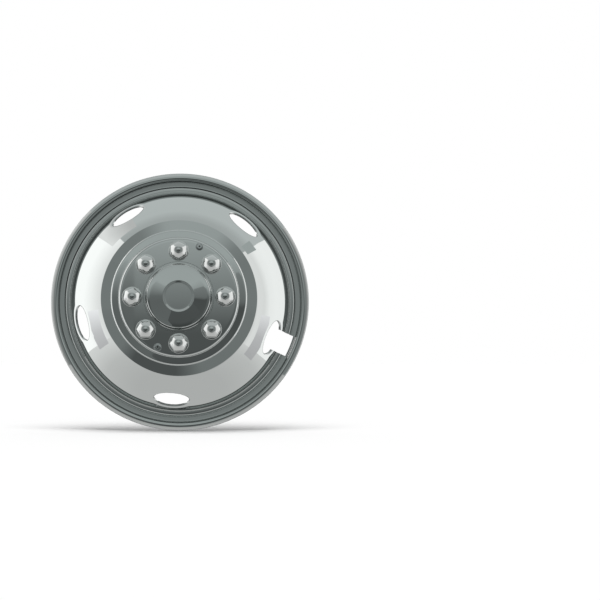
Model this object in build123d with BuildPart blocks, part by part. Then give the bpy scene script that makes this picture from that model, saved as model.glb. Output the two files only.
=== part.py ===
from build123d import *
from math import atan2, cos, degrees, radians, sin, sqrt
import os

os.makedirs("parts", exist_ok=True)

# A stainless wheel simulator for the front wheel of a truck with dual rear wheels: a stamped
# liner, a drawn hub cap riveted behind its lug plate, and eight acorn covers over the wheel nuts.
# The wheel's axis is Y and the show side faces -Y. "Forward" is the distance ahead of the rim
# seat, which is the plane Y = 0. Angles run clockwise from the top as seen from the front.

# Sheet metal
sheet = 0.8

# Wheel liner from its edge inwards: the rim's size, then each ring's width and forward place
outer_radius = 237.0
seat_flange = 19.0
rim_forward = 7.6
lip_width = 1.4
lip_rise = 2.2
crown_width = 5.2
crown_rise = 1.4
shoulder_width = 7.0
shoulder_fall = 2.8
shoulder_draft = 2.6
groove_width = 8.5
groove_forward = 2.6
groove_rise = 0.4
sill_draft = 3.6
sill_step = 4.9
sill_width = 6.0
sill_rise = 0.3

# Wheel liner from the lug circle outwards: the flat lug plate and the two steps down to the dome
lug_circle = 165.1
plate_margin = 23.95
plate_forward = 94.0
plate_step = 8.2
ledge_width = 14.3
ledge_fall = 0.4
ledge_step = 4.4
band_width = 19.2
band_fall = 7.0
step_draft = 0.7

# Hand holes in the dome, and the valve notch that runs outwards from one of them
hole_count = 5
hole_margin = 19.7
hole_length = 63.5
hole_width = 33.0
hole_lip = 2.6
valve_angle = 112.5
notch_width = 39.0
notch_margin = 0.6
notch_corner = 4.0
notch_clearance = 0.3

# Lug covers over the wheel's nuts, each with the turn at which its hexagon was set
lug_turns = [30.0, 38.0, 25.0, 0.0, -4.0, 0.0, -18.0, 22.0]
lug_flange_radius = 18.5
lug_flange = 2.2
lug_hex = 26.5
lug_hex_height = 12.5
lug_dome_height = 8.5
lug_dome_inset = 0.65
lug_dome_crown = 5.0
lug_wall = 0.7
lug_stud_radius = 7.6
lug_stud_reach = 4.0
nut_hole_inset = 0.35

# Hub cap: a drawn hat that fills the hub hole, its brim behind the lug plate
cap_gap = 5.05
cap_flare = 3.0
cap_clearance = 1.0
cap_height = 14.4
cap_shoulder = 4.8
cap_crown = 1.6
recess_radius = 27.7
recess_depth = 1.8
recess_draft = 0.8
brim_margin = 3.0

# Blind rivets that hold the brim to the liner
rivet_count = 2
first_rivet_angle = 22.5
rivet_margin = 9.6
rivet_head_radius = 7.0
rivet_crown_radius = 4.4
rivet_head = 2.0
rivet_radius = 2.4
rivet_clearance = 0.1
rivet_core_radius = 1.6
rivet_core_depth = 3.0
rivet_tail_radius = 4.2
rivet_tail = 4.0

# Places along the liner's section
lip_radius = outer_radius - lip_width
lip_forward = rim_forward + lip_rise
bead_radius = lip_radius - crown_width
bead_forward = lip_forward + crown_rise
shoulder_radius = bead_radius - shoulder_width
groove_edge = shoulder_radius - shoulder_draft
groove_radius = groove_edge - groove_width
sill_radius = groove_radius - sill_draft
sill_forward = groove_forward + sill_step
foot_radius = sill_radius - sill_width
foot_forward = sill_forward + sill_rise
lug_radius = lug_circle / 2
plate_radius = lug_radius + plate_margin
ledge_radius = plate_radius + ledge_width
crest_radius = ledge_radius + band_width
ledge_forward = plate_forward - plate_step
band_forward = ledge_forward - ledge_fall - ledge_step
crest_forward = band_forward - band_fall

# The dome is the part of a sphere that runs from the crest to the foot
dome_depth = crest_forward - foot_forward
dome_spread = crest_radius**2 - foot_radius**2 + crest_forward**2 - foot_forward**2
dome_centre = dome_spread / (2 * dome_depth)
dome_radius = sqrt(crest_radius**2 + (crest_forward - dome_centre) ** 2)
crest_angle = degrees(atan2(crest_forward - dome_centre, crest_radius))
foot_angle = degrees(atan2(foot_forward - dome_centre, foot_radius))

# Places that several pieces share
hole_radius = foot_radius - hole_margin
hole_angles = [valve_angle + i * 360 / hole_count for i in range(hole_count)]
lug_angles = [i * 360 / len(lug_turns) for i in range(len(lug_turns))]
nut_hole_radius = lug_hex / 2 - nut_hole_inset
rivet_place = plate_radius - rivet_margin
rivet_angles = [first_rivet_angle + i * 360 / rivet_count for i in range(rivet_count)]
rivet_hole_radius = rivet_radius + rivet_clearance
cap_radius = lug_radius - lug_flange_radius - cap_gap
back_of_plate = plate_forward - sheet
back_of_brim = back_of_plate - sheet

# Sections are drawn with the radius across and the forward distance up
section = Plane(origin=(0, 0, 0), x_dir=(1, 0, 0), z_dir=(0, 0, -1))


def front_plane(forward, radius=0.0, angle=0.0, turn=0.0):
    """Plane facing forward at a polar place on the wheel, turned about its own axis."""
    at = radians(angle)
    facing = radians(angle + turn)
    return Plane(
        origin=(radius * sin(at), -forward, radius * cos(at)),
        x_dir=(cos(facing), 0, -sin(facing)),
        z_dir=(0, -1, 0),
    )


def section_plane(radius, angle):
    """Section plane of a small round piece, on that piece's own axis."""
    at = radians(angle)
    return Plane(
        origin=(radius * sin(at), 0, radius * cos(at)),
        x_dir=(1, 0, 0),
        z_dir=(0, 0, -1),
    )


def hole_plane(angle):
    """Plane that touches the dome at the middle of a hand hole, with its x axis along the hole."""
    at = radians(angle)
    rise = sqrt(dome_radius**2 - hole_radius**2)
    return Plane(
        origin=(hole_radius * sin(at), -dome_centre - rise, hole_radius * cos(at)),
        x_dir=(cos(at), 0, -sin(at)),
        z_dir=(hole_radius * sin(at), -rise, hole_radius * cos(at)),
    )


# Blanks of the hand holes' turned-in rims, trimmed from inside the sheet to the depth of the lip
with BuildPart() as rim_blanks:
    for angle in hole_angles:
        with BuildSketch(hole_plane(angle)):
            Ellipse(hole_length / 2 + sheet, hole_width / 2 + sheet)
        extrude(amount=2 * (hole_lip + sheet), both=True)
    with Locations(Plane(origin=(0, -dome_centre, 0))):
        Sphere(dome_radius - sheet / 2, mode=Mode.INTERSECT)
        Sphere(dome_radius - sheet - hole_lip, mode=Mode.SUBTRACT)

# Wheel liner
with BuildPart() as wheel_liner:
    with BuildSketch(section):
        with BuildLine():
            Polyline(
                (cap_radius + cap_flare + cap_clearance, plate_forward),
                (plate_radius, plate_forward),
                (plate_radius + step_draft, ledge_forward),
                (ledge_radius, ledge_forward - ledge_fall),
                (ledge_radius + step_draft, band_forward),
                (crest_radius, crest_forward),
            )
            CenterArc((0, dome_centre), dome_radius, crest_angle, foot_angle - crest_angle)
            Polyline(
                (foot_radius, foot_forward),
                (sill_radius, sill_forward),
                (groove_radius, groove_forward),
                (groove_edge, groove_forward + groove_rise),
                (shoulder_radius, bead_forward - shoulder_fall),
                (bead_radius, bead_forward),
                (lip_radius, lip_forward),
                (outer_radius, rim_forward),
                (outer_radius, 0),
                (outer_radius - seat_flange, 0),
            )
            offset(amount=sheet, side=Side.RIGHT, kind=Kind.INTERSECTION)
        make_face()
    revolve(axis=Axis.Y)
    add(rim_blanks.part)
    for angle in hole_angles:
        with BuildSketch(hole_plane(angle)):
            Ellipse(hole_length / 2, hole_width / 2)
        extrude(amount=2 * (hole_lip + sheet), both=True, mode=Mode.SUBTRACT)
    # The notch leaves the seat flange whole behind it
    notch_reach = groove_edge - notch_margin - hole_radius
    with BuildSketch(front_plane(sheet + notch_clearance, hole_radius, valve_angle)) as notch:
        Rectangle(notch_width, notch_reach, align=(Align.CENTER, Align.MIN))
        fillet(notch.vertices().sort_by(Axis.Y)[-2:], radius=notch_corner)
    extrude(amount=crest_forward, mode=Mode.SUBTRACT)
    for angle in lug_angles:
        with BuildSketch(front_plane(plate_forward, lug_radius, angle)):
            Circle(nut_hole_radius)
        extrude(amount=-2 * sheet, mode=Mode.SUBTRACT)
    for angle in rivet_angles:
        with BuildSketch(front_plane(plate_forward, rivet_place, angle)):
            Circle(rivet_hole_radius)
        extrude(amount=-2 * sheet, mode=Mode.SUBTRACT)
wheel_liner.part.label = "wheel_liner"
export_step(wheel_liner.part, "parts/wheel_liner.step")

# Hub cap
cap_forward = plate_forward + cap_height
recess_forward = cap_forward + cap_crown - recess_depth
shoulder_break = cap_shoulder * (1 - cos(radians(45)))
with BuildPart() as hub_cap:
    with BuildSketch(section):
        with BuildLine():
            Polyline(
                (0, recess_forward),
                (recess_radius - recess_draft, recess_forward),
                (recess_radius, cap_forward + cap_crown),
                (cap_radius - cap_shoulder, cap_forward),
                (cap_radius - shoulder_break, cap_forward - shoulder_break),
                (cap_radius, cap_forward - cap_shoulder),
                (cap_radius, back_of_plate + cap_flare),
                (cap_radius + cap_flare, back_of_plate),
                (plate_radius - brim_margin, back_of_plate),
            )
            offset(amount=sheet, side=Side.RIGHT, kind=Kind.INTERSECTION)
        make_face()
    revolve(axis=Axis.Y)
    for angle in lug_angles:
        with BuildSketch(front_plane(back_of_plate, lug_radius, angle)):
            Circle(nut_hole_radius)
        extrude(amount=-2 * sheet, mode=Mode.SUBTRACT)
    for angle in rivet_angles:
        with BuildSketch(front_plane(back_of_plate, rivet_place, angle)):
            Circle(rivet_hole_radius)
        extrude(amount=-2 * sheet, mode=Mode.SUBTRACT)
hub_cap.part.label = "hub_cap"
export_step(hub_cap.part, "parts/hub_cap.step")

# Lug covers
dome_base = lug_hex / 2 - lug_dome_inset
dome_top = lug_hex_height + lug_dome_height
for number, (angle, turn) in enumerate(zip(lug_angles, lug_turns), start=1):
    seat = front_plane(plate_forward, lug_radius, angle, turn - angle)
    with BuildPart() as lug_cover:
        with BuildSketch(seat):
            Circle(lug_flange_radius)
        extrude(amount=lug_flange)
        with BuildSketch(seat):
            RegularPolygon(lug_hex / 2, 6, major_radius=False)
        extrude(amount=lug_hex_height)
        with BuildSketch(section_plane(lug_radius, angle)):
            with BuildLine():
                Polyline(
                    (0, plate_forward + lug_flange),
                    (dome_base, plate_forward + lug_flange),
                    (dome_base, plate_forward + lug_hex_height),
                    (lug_dome_crown, plate_forward + dome_top),
                    (0, plate_forward + dome_top),
                    close=True,
                )
            make_face()
        revolve(axis=Axis(seat.origin, (0, 1, 0)))
        with BuildSketch(seat):
            RegularPolygon(lug_hex / 2 - lug_wall, 6, major_radius=False)
        extrude(amount=lug_hex_height - lug_wall, mode=Mode.SUBTRACT)
        with BuildSketch(seat):
            Circle(lug_stud_radius)
        extrude(amount=lug_hex_height + lug_stud_reach, mode=Mode.SUBTRACT)
    name = f"lug_cover_{number}"
    lug_cover.part.label = name
    export_step(lug_cover.part, f"parts/{name}.step")

# Blind rivets
with BuildPart() as blind_rivets:
    for angle in rivet_angles:
        with BuildSketch(section_plane(rivet_place, angle)):
            with BuildLine():
                Polyline(
                    (0, back_of_brim - rivet_tail),
                    (rivet_tail_radius, back_of_brim - rivet_tail),
                    (rivet_tail_radius, back_of_brim),
                    (rivet_radius, back_of_brim),
                    (rivet_radius, plate_forward),
                    (rivet_head_radius, plate_forward),
                    (rivet_crown_radius, plate_forward + rivet_head),
                    (rivet_core_radius, plate_forward + rivet_head),
                    (rivet_core_radius, plate_forward + rivet_head - rivet_core_depth),
                    (0, plate_forward + rivet_head - rivet_core_depth),
                    close=True,
                )
            make_face()
        revolve(axis=Axis(front_plane(0, rivet_place, angle).origin, (0, 1, 0)))
blind_rivets.part.label = "blind_rivets"
export_step(blind_rivets.part, "parts/blind_rivets.step")
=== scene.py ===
import math

import bpy
import numpy as np
from mathutils import Matrix, Vector


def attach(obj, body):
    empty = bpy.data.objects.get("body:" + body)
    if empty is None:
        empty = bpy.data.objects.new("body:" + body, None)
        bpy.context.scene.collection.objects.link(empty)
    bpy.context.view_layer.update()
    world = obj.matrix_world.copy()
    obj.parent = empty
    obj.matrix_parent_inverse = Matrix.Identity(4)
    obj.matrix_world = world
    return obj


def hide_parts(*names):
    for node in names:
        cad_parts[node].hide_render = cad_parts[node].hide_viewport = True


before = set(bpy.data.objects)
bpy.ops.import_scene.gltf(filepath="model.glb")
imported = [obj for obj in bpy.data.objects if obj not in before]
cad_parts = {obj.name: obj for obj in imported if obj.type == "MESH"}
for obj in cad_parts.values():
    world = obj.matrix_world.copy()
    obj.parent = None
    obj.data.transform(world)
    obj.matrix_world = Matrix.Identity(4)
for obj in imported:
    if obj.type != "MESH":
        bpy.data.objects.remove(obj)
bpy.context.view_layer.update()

# Sizes in millimetres, as in the CAD part. The wheel's axis is Y, "forward" is -Y, and angles are in
# degrees, clockwise from the top as seen from the front.
SHEET = 0.8
CLEARANCE = 0.02
RIM = 237.0
PLATE = 94.0
BRIM = PLATE - SHEET
LUG_RADIUS = 82.55
LUG_ANGLES = [45 * i for i in range(8)]
LUG_TURNS = [30.0, 38.0, 25.0, 0.0, -4.0, 0.0, -18.0, 22.0]
NUT_HOLE = 12.9
LEDGE_END = 140.0
LEDGE_FORWARD = 74.0
DOME_END = 200.5
DOME_RADIUS = 240.37
DOME_CENTRE = LEDGE_FORWARD - math.sqrt(DOME_RADIUS**2 - LEDGE_END**2)
HOLE_RADIUS = 183.0
HOLE_ANGLES = [112.5 + 72 * i for i in range(5)]
HOLE_HALF_LENGTH = 31.75
HOLE_HALF_WIDTH = 16.5
NOTCH_ANGLE = HOLE_ANGLES[0]
RIVET_PLACE = 96.9
RIVET_ANGLES = [22.5, 202.5]
RIVET_CORE = 1.6

# Points round a turned piece, and the windows that its grid leaves for holes: half their columns, and how
# far they reach either side of the hole's middle, in millimetres on the plate and degrees on the dome
COLUMNS = 240
NUT_COLUMNS, NUT_REACH = 8, 16.0
HAND_COLUMNS, HAND_REACH = 10, 6.1
LUG_POINTS = 96
RIVET_POINTS = 48


def linear(code):
    """Linear colour of an sRGB hex code."""
    parts = [int(code[i:i + 2], 16) / 255 for i in (0, 2, 4)]
    return (*[c / 12.92 if c <= 0.04045 else ((c + 0.055) / 1.055) ** 2.4 for c in parts], 1.0)


def add(tree, kind, sets=None, links=None):
    """A node with its settings, by socket or by attribute, and its incoming links."""
    node = tree.nodes.new(kind)
    for key, value in (sets or {}).items():
        if key in node.inputs:
            node.inputs[key].default_value = value
        else:
            setattr(node, key, value)
    for key, source in (links or {}).items():
        tree.links.new(source, node.inputs[key])
    return node


def place(radius, forward, angle):
    """Point in metres at a radius, a forward distance and an angle."""
    a = math.radians(angle)
    return Vector((radius * math.sin(a), -forward, radius * math.cos(a))) / 1000


def rounded(corners, step):
    """Section line through (radius, forward, bend) corners: bends are arcs, straights are cut to steps."""
    pts = [np.array(c[:2], float) for c in corners]
    line = [pts[0]]
    for i in range(1, len(pts)):
        bend = corners[i][2] if i < len(pts) - 1 else 0
        if bend:
            a = pts[i - 1] - pts[i]
            b = pts[i + 1] - pts[i]
            a /= np.linalg.norm(a)
            b /= np.linalg.norm(b)
            half = math.acos(np.clip(a @ b, -1, 1)) / 2
            reach = bend / math.tan(half)
            middle = pts[i] + (a + b) / np.linalg.norm(a + b) * bend / math.sin(half)
            u = (pts[i] + a * reach - middle) / bend
            w = (pts[i] + b * reach - middle) / bend
            w = w - u * (u @ w)
            w /= np.linalg.norm(w)
            sweep = math.pi - 2 * half
            turns = np.linspace(0, sweep, max(3, round(math.degrees(sweep) / 10)) + 1)
            arc = [middle + bend * (u * math.cos(t) + w * math.sin(t)) for t in turns]
        else:
            arc = [pts[i]]
        cuts = max(1, math.ceil(np.linalg.norm(arc[0] - line[-1]) / step))
        line += [line[-1] + (arc[0] - line[-1]) * k / cuts for k in range(1, cuts)]
        line += arc
    return line


def mesh_object(name, verts, faces, materials):
    """Mesh object from points in metres, with its materials."""
    mesh = bpy.data.meshes.new(name)
    mesh.from_pydata(verts, [], faces)
    obj = bpy.data.objects.new(name, mesh)
    bpy.context.scene.collection.objects.link(obj)
    for m in materials:
        mesh.materials.append(m)
    return obj


def applied(obj):
    """Mesh of a piece with its modifiers applied."""
    return bpy.data.meshes.new_from_object(obj.evaluated_get(bpy.context.evaluated_depsgraph_get()))


def settle(obj):
    """Applies the modifiers of a piece and shades it smooth, its flats kept flat and its edges sharp."""
    mesh = applied(obj)
    obj.modifiers.clear()
    obj.data = mesh
    mesh.polygons.foreach_set("use_smooth", [True] * len(mesh.polygons))
    mesh.set_sharp_from_angle(angle=math.radians(38))
    normals = obj.modifiers.new("normals", "WEIGHTED_NORMAL")
    normals.keep_sharp = True
    normals.weight = 80
    obj.data = applied(obj)
    obj.modifiers.clear()


def fit(obj, node):
    """Puts a finished piece in the place of its CAD node."""
    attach(obj, "root")
    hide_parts(node)


def thicken(obj, thickness):
    """Gives a skin its thickness towards the back, where its second material shows."""
    sheet = obj.modifiers.new("sheet", "SOLIDIFY")
    sheet.thickness = thickness / 1000
    sheet.offset = -1
    sheet.use_even_offset = True
    sheet.use_quality_normals = True
    sheet.material_offset = 1
    sheet.material_offset_rim = 1


def band(rows, count, gone=()):
    """Faces of a grid of rows round an axis, with a count of points in each, less the cells that are gone."""
    faces = []
    for r in range(rows - 1):
        for c in range(count):
            if (r, c) not in gone:
                d = (c + 1) % count
                faces.append((r * count + c, r * count + d, (r + 1) * count + d, (r + 1) * count + c))
    return faces


def lathe(line, windows):
    """Front skin of a turned sheet: a grid of section line by columns, with patches round its holes.
    A window is (angle, first row, last row, half columns, rings), and rings(loop, angle) gives its inner
    loops."""
    verts = [place(r, f, 360 * c / COLUMNS) for r, f in line for c in range(COLUMNS)]
    gone = set()
    patches = []
    for angle, first, last, half, rings in windows:
        middle = round(angle / 360 * COLUMNS)
        left, right = middle - half, middle + half
        gone |= {(r, c % COLUMNS) for r in range(first, last) for c in range(left, right)}
        cells = [(first, c) for c in range(left, right)]
        cells += [(r, right) for r in range(first, last)]
        cells += [(last, c) for c in range(right, left, -1)]
        cells += [(r, left) for r in range(last, first, -1)]
        loop = [r * COLUMNS + c % COLUMNS for r, c in cells]
        n = len(loop)
        for points in rings([verts[i] for i in loop], angle):
            inner = list(range(len(verts), len(verts) + n))
            verts += points
            patches += [(loop[k], loop[(k + 1) % n], inner[(k + 1) % n], inner[k]) for k in range(n)]
            loop = inner
    return verts, patches + band(len(line), COLUMNS, gone)


def nearest_rows(values, usable, middle, reach):
    """First and last row of a window: the usable rows nearest to its two ends."""
    ends = (middle - reach, middle + reach)
    return [int(np.argmin(np.where(usable, abs(values - end), np.inf))) for end in ends]


def nut_rings(loop, angle):
    """Loops that close a square window of a flat plate down to a round nut hole."""
    centre = place(LUG_RADIUS, 0, angle)
    flat = [Vector((p.x - centre.x, 0, p.z - centre.z)) for p in loop]
    edge = [v.normalized() * NUT_HOLE / 1000 for v in flat]
    return [[p + (e - v) * t for p, e, v in zip(loop, edge, flat)] for t in (0.5, 1.0)]


def nut_windows(line, forward):
    """Windows for the nut holes in the flat of a section line at a forward distance."""
    radii, forwards = np.array(line).T
    rows = nearest_rows(radii, abs(forwards - forward) < 0.01, LUG_RADIUS, NUT_REACH)
    return [(angle, *rows, NUT_COLUMNS, nut_rings) for angle in LUG_ANGLES]


def lip_section():
    """Section of a hand hole's rim: distances outside the hole's edge, and depths below the dome.
    The sheet leaves the dome at the start, sinks to a slope, folds over a bend and drops upright."""
    lead, start, fold = 8.0, 7.0, 2.0
    slope, upright = 13.0, 86.0
    bend, drop = 2.55, 1.6
    line = [(lead, 0.0), (start, 0.0)]
    steps = 5
    step = (start - fold) / steps
    for k in range(1, steps + 1):
        sunk = step * math.tan(math.radians(slope * (k - 0.5) / steps))
        line.append((start - step * k, line[-1][1] + sunk))
    turns = np.radians(np.linspace(slope, upright, 9))
    depth = line[-1][1]
    for t in turns[1:]:
        line.append((fold - bend * (math.sin(t) - math.sin(turns[0])),
                     depth + bend * (math.cos(turns[0]) - math.cos(t))))
    line.append((0.0, line[-1][1] + drop))
    return line


def hand_rings(loop, angle):
    """Loops that close a window of the dome down to an oval hand hole, its rim drawn in."""
    a = math.radians(angle)
    out = Vector((math.sin(a), 0, math.cos(a)))
    rise = math.sqrt(DOME_RADIUS**2 - HOLE_RADIUS**2)
    normal = (out * HOLE_RADIUS + Vector((0, -rise, 0))).normalized()
    along = Vector((math.cos(a), 0, -math.sin(a)))
    across = normal.cross(along).normalized()
    centre = Vector((0, -DOME_CENTRE, 0))
    offsets = [p * 1000 - centre for p in loop]
    flat = [(q.dot(along), q.dot(across)) for q in offsets]
    turns = [math.atan2(v / HOLE_HALF_WIDTH, u / HOLE_HALF_LENGTH) for u, v in flat]

    def lifted(u, v, depth):
        """Point at a depth below the dome."""
        up = math.sqrt(DOME_RADIUS**2 - u * u - v * v) - depth
        return (centre + along * u + across * v + normal * up) / 1000

    def oval(t, outside):
        """Place at a distance outside the hole's edge."""
        n = Vector((math.cos(t) / HOLE_HALF_LENGTH, math.sin(t) / HOLE_HALF_WIDTH)).normalized()
        return HOLE_HALF_LENGTH * math.cos(t) + outside * n.x, HOLE_HALF_WIDTH * math.sin(t) + outside * n.y

    lip = lip_section()
    rings = []
    for mix in (0.35, 0.7):
        ring = []
        for (u, v), t in zip(flat, turns):
            edge_u, edge_v = oval(t, lip[0][0])
            ring.append(lifted(u + (edge_u - u) * mix, v + (edge_v - v) * mix, 0))
        rings.append(ring)
    for outside, depth in lip:
        rings.append([lifted(*oval(t, outside), depth) for t in turns])
    return rings


def hand_windows(line):
    """Windows for the hand holes in the dome of a section line."""
    radii = np.array(line)[:, 0]
    tilts = np.degrees(np.arcsin(np.clip(radii / DOME_RADIUS, 0, 1)))
    middle = math.degrees(math.asin(HOLE_RADIUS / DOME_RADIUS))
    on_dome = (radii > LEDGE_END + 1.0) & (radii < DOME_END - 0.5)
    rows = nearest_rows(tilts, on_dome, middle, HAND_REACH)
    return [(angle, *rows, HAND_COLUMNS, hand_rings) for angle in HOLE_ANGLES]


# Materials


def metal(name, tint, gloss, grain, stretch=(1, 1, 1), relief=0.0):
    """Bare metal whose roughness runs between two values over a grain of a size in millimetres."""
    mat = bpy.data.materials.new(name)
    mat.use_nodes = True
    tree = mat.node_tree
    tree.nodes.clear()
    coords = add(tree, "ShaderNodeTexCoord")
    sized = add(tree, "ShaderNodeMapping", {"Scale": [1000 / grain / k for k in stretch]},
                {"Vector": coords.outputs["Object"]})
    noise = add(tree, "ShaderNodeTexNoise", {"Scale": 1.0, "Detail": 3.0},
                {"Vector": sized.outputs["Vector"]})
    # The noise keeps mostly between 0.3 and 0.7
    rough = add(tree, "ShaderNodeMapRange",
                {"From Min": 0.3, "From Max": 0.7, "To Min": gloss[0], "To Max": gloss[1]},
                {"Value": noise.outputs["Fac"]})
    shader = add(tree, "ShaderNodeBsdfPrincipled", {"Base Color": linear(tint), "Metallic": 1.0},
                 {"Roughness": rough.outputs["Result"]})
    if relief:
        bump = add(tree, "ShaderNodeBump", {"Strength": 1.0, "Distance": relief / 1000},
                   {"Height": noise.outputs["Fac"]})
        tree.links.new(bump.outputs["Normal"], shader.inputs["Normal"])
    add(tree, "ShaderNodeOutputMaterial", links={"Surface": shader.outputs["BSDF"]})
    return mat


# Buffed by wheel: a true mirror, its gloss a little softer in patches about a hand wide
polished = metal("wheel_buffed_stainless_sheet", "d0d2d1", (0.022, 0.04), 60)
# As rolled: a dull grey back with fine streaks along the rolling direction
mill = metal("rolled_mill_finish_stainless_sheet", "c3c5c5", (0.26, 0.38), 1.2, (12, 1, 1), 0.004)
# Plated bright over a pressing: a shade lighter and more neutral than the sheet, mirror clear
chrome = metal("bright_chromium_plated_pressing", "d8d9d8", (0.02, 0.04), 9)
# Drawn wire, headed cold: a satin shine with a fine drawn grain
drawn = metal("cold_headed_stainless_wire", "c8caca", (0.14, 0.24), 0.5, (1, 6, 1))
# Snapped off in setting: the mandrel's torn, dull end, its dark grey partly painted shade of the rivet's bore
core = metal("snapped_mandrel_with_painted_bore_shade", "6a6a68", (0.4, 0.6), 0.4, relief=0.02)

# Wheel liner


def liner_section():
    """Section line of the liner, from the hub hole to the seat flange's inner edge."""
    start = math.degrees(math.asin(LEDGE_END / DOME_RADIUS))
    end = math.degrees(math.asin(DOME_END / DOME_RADIUS))
    dome = []
    for t in np.radians(np.arange(start + 0.6, end - 0.5, 0.75)):
        dome.append((DOME_RADIUS * math.sin(t), DOME_CENTRE + DOME_RADIUS * math.cos(t), 0))
    plate = [(63.0, PLATE, 0), (106.5, PLATE, 5.0)]
    steps = [(107.2, 85.8, 1.5), (120.8, 85.4, 3.0), (121.5, 81.0, 1.0), (LEDGE_END, LEDGE_FORWARD, 2.5)]
    sill = [(202.7, 7.4, 0.8), (208.5, 7.8, 4.5)]
    groove = [(212.6, 2.6, 1.4), (220.9, 3.25, 1.2)]
    bead = [(223.5, 8.8, 2.4), (228.4, 11.2, 6.0), (236.1, 7.2, 1.8), (RIM, 4.6, 1.2)]
    seat = [(RIM, 0.0, 1.2), (218.0, 0.0, 0)]
    return rounded(plate + steps + dome + sill + groove + bead + seat, 3.2)


def notch_cutter():
    """Block that cuts the valve notch through the dome's foot, the sill and the groove."""
    half, start, end, corner = 19.5, 183.0, 220.2, 4.0
    behind, ahead = 1.1, 80.0
    right = [(half - corner + corner * math.sin(t), end - corner + corner * math.cos(t))
             for t in np.radians(np.linspace(90, 0, 7))]
    left = [(-u, v) for u, v in reversed(right)]
    outline = [(-half, start), (half, start)] + right + left
    a = math.radians(NOTCH_ANGLE)
    along = Vector((math.cos(a), 0, -math.sin(a)))
    verts = [place(v, f, NOTCH_ANGLE) + along * u / 1000 for f in (behind, ahead) for u, v in outline]
    n = len(outline)
    faces = [tuple(reversed(range(n))), tuple(range(n, 2 * n))]
    faces += [((k + 1) % n, (k + 1) % n + n, k + n, k) for k in range(n)]
    return mesh_object("notch_cutter", verts, faces, [mill])


section = liner_section()
liner = mesh_object("stamped_liner", *lathe(section, hand_windows(section) + nut_windows(section, PLATE)),
                    [polished, mill])
thicken(liner, SHEET)
cutter = notch_cutter()
notch = liner.modifiers.new("notch", "BOOLEAN")
notch.operation = "DIFFERENCE"
notch.solver = "EXACT"
notch.object = cutter
bpy.context.view_layer.update()
settle(liner)
bpy.data.objects.remove(cutter)
fit(liner, "wheel_liner")

# Hub cap: a recess in its face, the face, the shoulder, the wall and its flared foot, then the brim
section = rounded(
    [(0.05, 108.2, 0), (24.2, 108.2, 1.2), (27.7, 110.0, 1.2), (50.0, 108.7, 0), (56.4, 108.0, 2.8),
     (58.4, 97.0, 0), (58.9, 93.95, 1.2), (62.6, 93.95, 0.2), (62.8, BRIM, 0.2), (103.5, BRIM, 0)], 3.0)
cap = mesh_object("drawn_hub_cap", *lathe(section, nut_windows(section, BRIM)), [polished, mill])
thicken(cap, SHEET - CLEARANCE)
settle(cap)
fit(cap, "hub_cap")

# Lug covers


def hexagon(apothem, corner, angle):
    """Radius of a hexagon with rounded corners at an angle from the middle of a flat."""
    slant = math.cos(math.radians(30))
    a = abs((angle + 30) % 60 - 30)
    plain = apothem / math.cos(math.radians(a))
    centre = (apothem - corner) / slant
    d = math.radians(30 - a)
    root = corner**2 - (centre * math.sin(d)) ** 2
    if root <= 0:
        return plain
    return min(plain, centre * math.cos(d) + math.sqrt(root), centre + corner)


def crown(radius):
    """Height of a lug cover's crown: a ball that runs out into a cone."""
    top, ball, slope = 21.0, 14.0, math.radians(40)
    run = min(radius, ball * math.sin(slope))
    return top - ball + math.sqrt(ball**2 - run**2) - math.tan(slope) * (radius - run)


def lug_section(angle):
    """Section line of a lug cover, as (height, radius), at an angle from the middle of a flat."""
    pocket, pocket_top, bevel = 7.6, 16.5, 0.1
    socket, socket_top, socket_corner = 12.55, 11.8, 0.8
    flange, flange_top, flange_edge = 18.2, 2.1, 1.2
    foot, top, corner = 14.0, 13.5, 1.0
    rise, spread = 1.0, 0.9
    edge, roll, inset = 0.8, 0.6, 0.75
    base = flange_top + rise
    wall = hexagon(top, corner, angle)
    shoulder = crown(wall)
    quarter = np.radians([0, 30, 60, 90])
    # The stud's pocket and the nut's socket
    line = [(pocket_top, 0.05), (pocket_top, pocket - bevel), (pocket_top - bevel, pocket)]
    line += [(socket_top + bevel, pocket), (socket_top, pocket + bevel)]
    line += [(socket_top, hexagon(socket - bevel, socket_corner, angle))]
    line += [(height, hexagon(socket, socket_corner, angle)) for height in (socket_top - 2 * bevel, 0.0)]
    # The flange with its round edge, and the bend up to the hexagon
    line += [(0.0, flange)]
    for t in quarter:
        line.append((flange_top + flange_edge * (math.sin(t) - 1), flange + flange_edge * (math.cos(t) - 1)))
    for t in quarter:
        line.append((base - rise * math.cos(t), hexagon(foot, corner, angle) + spread * (1 - math.sin(t))))
    # The hexagon with a slight draft, its upper edge, and the crown, which runs lower at the corners
    for k in np.arange(1, 7) / 6:
        line.append((base + (shoulder - edge - base) * k, hexagon(foot + (top - foot) * k, corner, angle)))
    for t in (0.35, 0.75):
        line.append((shoulder - edge + edge * t, wall - roll * t * t))
    for k in (1.0, 0.9, 0.8, 0.7, 0.6, 0.5, 0.42, 0.34, 0.26, 0.18, 0.1, 0.002):
        line.append((crown(k * (wall - inset)), k * (wall - inset)))
    return line


lug_angles = [360 * k / LUG_POINTS for k in range(LUG_POINTS)]
lug_rows = list(zip(*[lug_section(a) for a in lug_angles]))
lug_verts = [place(radius, height, a) for row in lug_rows for a, (height, radius) in zip(lug_angles, row)]
lug_faces = band(len(lug_rows), LUG_POINTS)
for number, (angle, turn) in enumerate(zip(LUG_ANGLES, LUG_TURNS), start=1):
    spin = Matrix.Rotation(math.radians(turn), 4, "Y")
    shift = place(LUG_RADIUS, PLATE, angle)
    lug = mesh_object(f"lug_shell_{number}", [spin @ v + shift for v in lug_verts], lug_faces, [chrome])
    settle(lug)
    fit(lug, f"lug_cover_{number}")

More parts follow.
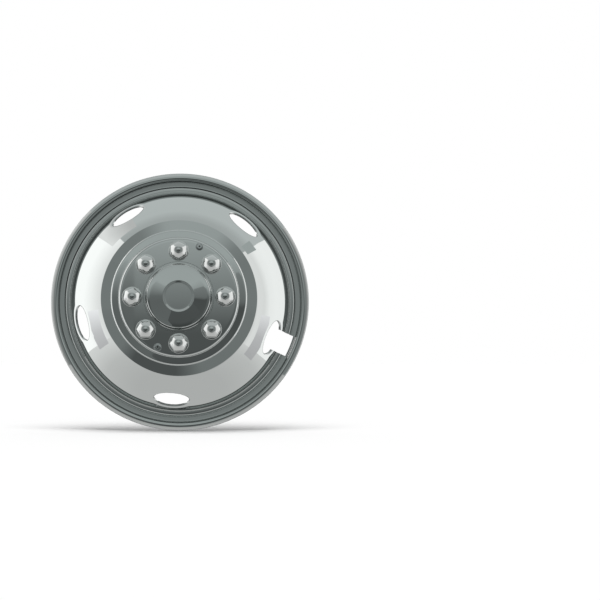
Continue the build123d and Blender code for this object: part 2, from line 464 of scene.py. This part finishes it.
# Blind rivets: the head round the snapped core, then the shank and the tail behind the brim
rivet_line = rounded([(0.02, 95.2, 0), (1.3, 95.25, 0), (1.45, 95.9, 0.3), (4.0, 95.9, 3.0), (7.0, 95.0, 0.6),
                      (7.0, 94.02, 0)], 1.0)
rivet_line += rounded([(2.4, 94.02, 0), (2.4, 92.38, 0), (4.2, 92.38, 0.6), (4.2, 88.4, 1.2),
                       (0.02, 88.4, 0)], 1.0)
for number, angle in enumerate(RIVET_ANGLES, start=1):
    centre = place(RIVET_PLACE, 0, angle)
    verts = [centre + place(r, f, 360 * k / RIVET_POINTS) for r, f in rivet_line for k in range(RIVET_POINTS)]
    rivet = mesh_object(f"blind_rivet_{number}", verts, band(len(rivet_line), RIVET_POINTS), [drawn, core])
    settle(rivet)
    # The faces of the core take the mandrel's dark grey, which is partly painted shade of the rivet's bore
    for p in rivet.data.polygons:
        from_axis = math.hypot(p.center.x - centre.x, p.center.z - centre.z) * 1000
        if from_axis < RIVET_CORE and -p.center.y * 1000 > PLATE + 0.5:
            p.material_index = 1
    fit(rivet, "blind_rivets")

# Floor, a hair below the rim, which sinks a little towards the front
FLOOR_TILT = math.radians(3.0)
FLOOR_SIZE = 12.0
floor_height = -(RIM + 0.2) / 1000
# Matt white paper: an even pale ground with no shine of its own
paper = bpy.data.materials.new("white_paper_sweep")
paper.use_nodes = True
for socket, value in {"Base Color": linear("ffffff"), "Roughness": 1.0, "Specular IOR Level": 0.0}.items():
    paper.node_tree.nodes["Principled BSDF"].inputs[socket].default_value = value
corners = [(x * FLOOR_SIZE, y * FLOOR_SIZE) for x, y in ((-1, -1), (1, -1), (1, 1), (-1, 1))]
floor = mesh_object("floor", [(x, y, floor_height + y * math.tan(FLOOR_TILT)) for x, y in corners],
                    [(0, 1, 2, 3)], [paper])
floor.visible_glossy = False

# Reflection cards: what the mirror finish sees of its studio


def card(name, verts, cols, glow, tint, along="Z"):
    """Reflection card: a sheet of light round the wheel, seen only in reflections, from rows of points.
    A glow is one level, or pairs of an angle and its level: of the height along Z, sideways along X, off the
    axis along Y."""
    w = cols + 1
    faces = [(i + k, i + k + 1, i + k + 1 + w, i + k + w)
             for i in range(0, len(verts) - w, w) for k in range(cols)]
    mat = bpy.data.materials.new(name)
    mat.use_nodes = True
    tree = mat.node_tree
    tree.nodes.clear()
    light = add(tree, "ShaderNodeEmission")
    if isinstance(glow, float):
        light.inputs["Color"].default_value = (*[glow * t for t in tint], 1)
    else:
        coords = add(tree, "ShaderNodeTexCoord")
        unit = add(tree, "ShaderNodeVectorMath", {"operation": "NORMALIZE"}, {0: coords.outputs["Object"]})
        split = add(tree, "ShaderNodeSeparateXYZ", links={"Vector": unit.outputs["Vector"]})
        spread = add(tree, "ShaderNodeMapRange", {"From Min": -1.0}, {"Value": split.outputs[along]})
        ramp = add(tree, "ShaderNodeValToRGB", links={"Fac": spread.outputs["Result"]})
        while len(ramp.color_ramp.elements) < len(glow):
            ramp.color_ramp.elements.new(0.5)
        for stop, (angle, level) in zip(ramp.color_ramp.elements, glow):
            stop.position = 0.5 + 0.5 * math.sin(math.radians(angle - (90 if along == "Y" else 0)))
            stop.color = (*[level * t for t in tint], 1)
        tree.links.new(ramp.outputs["Color"], light.inputs["Color"])
    add(tree, "ShaderNodeOutputMaterial", links={"Surface": light.outputs["Emission"]})
    obj = mesh_object(name, verts, faces, [mat])
    obj.visible_camera = False
    obj.visible_diffuse = False
    obj.visible_shadow = False
    obj.visible_transmission = False


# Tints of the cards, and their distances from the wheel in metres: those in front of others stand nearer
PAPER = (0.985, 1.0, 0.992)
COOL = (0.905, 1.0, 0.988)
DAY = (0.93, 1.0, 0.995)
LILAC = (0.985, 0.99, 1.01)
FAR, NEAR, NEAREST = 3.0, 2.9, 2.8


def shell(name, around, off, glow, tint=PAPER, along="Z", distance=FAR):
    """Card that is part of a sphere, between angles round the wheel's axis and angles off it."""
    rows = max(1, round((off[1] - off[0]) / 5))
    cols = max(1, round((around[1] - around[0]) / 5))
    verts = [Vector((math.sin(b) * math.sin(a), -math.cos(b), math.sin(b) * math.cos(a))) * distance
             for b in np.radians(np.linspace(*off, rows + 1))
             for a in np.radians(np.linspace(*around, cols + 1))]
    card(name, verts, cols, glow, tint, along)


def board(name, across, up, glow):
    """Flat card in front of the wheel, between angles to the right and angles up."""
    spots = [(a, b) for b in np.radians(up) for a in np.radians(across)]
    verts = [(NEAR * math.tan(a), -NEAR, NEAR * math.tan(b)) for a, b in spots]
    card(name, verts, 1, glow, COOL)


# The dark front, pale above, with the ring round it that the steps and the ledge see
shell("front_wall", (0, 360), (0, 30),
      [(-30, 0.08), (-9, 0.075), (-3, 0.11), (2.5, 0.118), (4.5, 0.25), (7, 0.38), (10, 0.53), (30, 0.48)],
      COOL)
shell("front_ring", (0, 360), (30, 53),
      [(-53, 0.04), (-47, 0.05), (-44, 0.23), (-30, 0.25), (-5, 0.26), (0, 0.28), (5, 0.28), (25, 0.27),
       (33, 0.31), (42, 0.48), (53, 0.5)], COOL)
shell("floor_shade", (140, 240), (36, 45.5), [(-35, 0.25), (-27, 0.115), (-3, 0.115), (12, 0.25)],
      COOL, "X", NEAR)
shell("left_shade", (304, 352), (43, 53), [(-28, 0.28), (-22, 0.29), (-8, 0.48)], COOL, "X", NEAR)
board("left_pillar", (-24, -4.5), (-14, 9.5), [(-14, 0.2), (3, 0.17), (5, 0.19), (9.5, 0.46)])
board("right_pillar", (5.5, 11), (-14, 8), [(-14, 0.13), (3.9, 0.1), (4.1, 0.2), (8, 0.28)])
board("right_wall", (11, 24), (-14, 9.5), [(-14, 0.15), (3, 0.14), (5, 0.19), (9.5, 0.46)])
# The grey ceiling and the pale floor
shell("ceiling", (-42, 50), (53, 116),
      [(53, 0.46), (60, 0.5), (66, 0.62), (76, 0.54), (82, 0.58), (90, 0.7), (116, 0.7)], DAY, "Y")
shell("floor_edge", (122, 245), (53, 70), [(53, 0.5), (58, 0.58), (70, 0.62)], along="Y")
shell("floor_bounce", (122, 245), (70, 116),
      [(-90, 0.64), (-62, 0.64), (-40, 0.74), (-28, 0.95), (-20, 1.05)])
# The white panels left and right, each with its edge, a post before its lower end and a head at its upper one
shell("left_edge", (245, 318), (53, 60), 0.28, COOL)
shell("left_panel", (245, 318), (60, 116),
      [(60, 0.3), (66, 0.75), (74, 1.08), (80, 1.2), (87, 1.35), (96, 1.5), (116, 1.5)], along="Y")
shell("left_post", (242, 267), (78, 91), [(-30, 0.66), (-18, 0.82), (-3, 1.28)], LILAC, distance=NEAREST)
shell("right_edge", (50, 122), (53, 60), 0.28, COOL)
shell("right_panel", (50, 122), (60, 116),
      [(60, 0.3), (66, 0.75), (74, 1.08), (81, 1.05), (87, 1.25), (95, 1.3), (116, 1.27)], along="Y")
shell("right_post", (97, 128), (78, 89), [(-39, 0.6), (-22, 0.72), (-7, 1.1)], LILAC, distance=NEAREST)
shell("left_head", (311, 331), (85, 116), [(42, 1.1), (50, 0.86), (58, 0.7)], distance=NEAR)
shell("right_head", (46, 53), (79, 91), 0.52, COOL, distance=NEAR)
# The grey wall behind the wheel, which its back sees
shell("back_wall", (0, 360), (116, 170), 0.3)

# Studio light: a wide soft light from above that leans to the front, and a weak fill from a surround that
# is white to the eye
LEAN = math.radians(18)
sun = bpy.data.lights.new("overhead", "SUN")
sun.energy = 0.64 * math.pi / math.cos(LEAN)
sun.angle = math.radians(44)
overhead = bpy.data.objects.new("overhead", sun)
overhead.rotation_euler = (FLOOR_TILT + LEAN, 0, 0)
overhead.visible_glossy = False
bpy.context.scene.collection.objects.link(overhead)
world = bpy.data.worlds.new("studio")
bpy.context.scene.world = world
world.use_nodes = True
tree = world.node_tree
tree.nodes.clear()
path = add(tree, "ShaderNodeLightPath")
seen = add(tree, "ShaderNodeMath", {"operation": "MAXIMUM"},
           {0: path.outputs["Is Camera Ray"], 1: path.outputs["Is Glossy Ray"]})
seen = add(tree, "ShaderNodeMath", {"operation": "MAXIMUM"},
           {0: seen.outputs["Value"], 1: path.outputs["Is Transmission Ray"]})
level = add(tree, "ShaderNodeMapRange", {"To Min": 0.37, "To Max": 1.0}, {"Value": seen.outputs["Value"]})
sky = add(tree, "ShaderNodeBackground", {"Color": (1, 1, 1, 1)}, {"Strength": level.outputs["Result"]})
add(tree, "ShaderNodeOutputWorld", links={"Surface": sky.outputs["Background"]})

# Camera: its place is from the fit of the wheel's rings, its shift from where the wheel stands in the picture
cam = bpy.data.cameras.new("camera")
cam.lens = 86.09
cam.sensor_width = 36
cam.shift_x = 0.2006
camera = bpy.data.objects.new("camera", cam)
bpy.context.scene.collection.objects.link(camera)
aim = Vector((0, -0.012, 0.0013))
to_right, upward, distance = math.radians(1.233), math.radians(-4.96), 2.631
camera.location = aim + distance * Vector((math.sin(to_right) * math.cos(upward),
                                           -math.cos(to_right) * math.cos(upward), math.sin(upward)))
camera.rotation_euler = (aim - camera.location).to_track_quat("-Z", "Y").to_euler()
bpy.context.scene.camera = camera
bpy.context.scene.view_settings.view_transform = "Standard"
